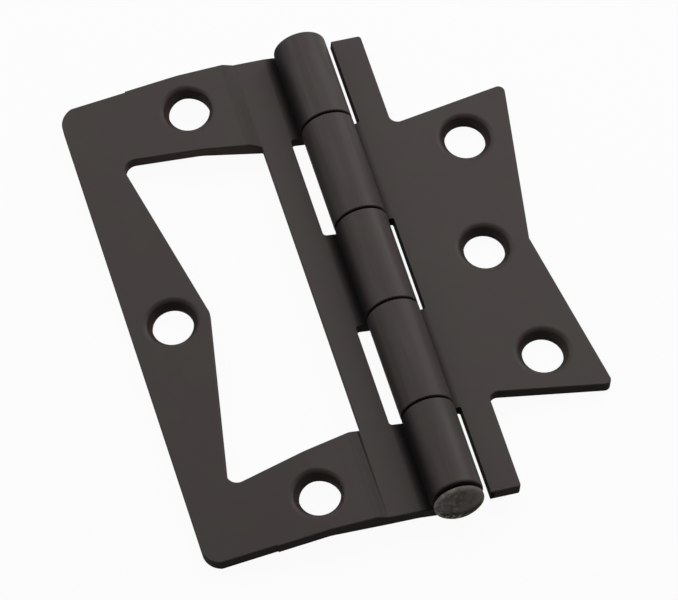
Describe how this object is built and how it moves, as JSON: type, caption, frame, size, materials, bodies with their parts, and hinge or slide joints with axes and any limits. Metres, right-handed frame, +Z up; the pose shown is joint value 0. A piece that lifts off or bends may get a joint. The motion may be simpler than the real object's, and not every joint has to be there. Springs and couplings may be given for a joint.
{
  "type": "surface mount hinge",
  "caption": "Flush surface mount butt hinge: a butterfly inner leaf nests in the cut-out of a joggled frame leaf when it closes.",
  "frame": {"origin": "centre of the hinge's underside, where it rests open on a table with its countersunk faces up", "axes": "+Y along the pin, away from the pin's head; +Z up, out of the countersunk faces; the outer frame leaf lies at -X and the inner leaf at +X"},
  "size_m": [0.0606, 0.0786, 0.0074],
  "materials": {
    "leaf_finish": "satin near-black bronze",
    "pin_finish": "worn satin bronze"
  },
  "bodies": {
    "outer": {"outer_leaf": "leaf_finish", "hinge_pin": "pin_finish"},
    "inner": {"inner_leaf": "leaf_finish"}
  },
  "joints": [
    {"name": "leaf_swing", "type": "hinge", "parent": "outer", "child": "inner", "pos_m": [0.00448, 0.00115, 0.0037], "axis": [0, -1, 0], "range_deg": [-112, 190.39]}
  ]
}
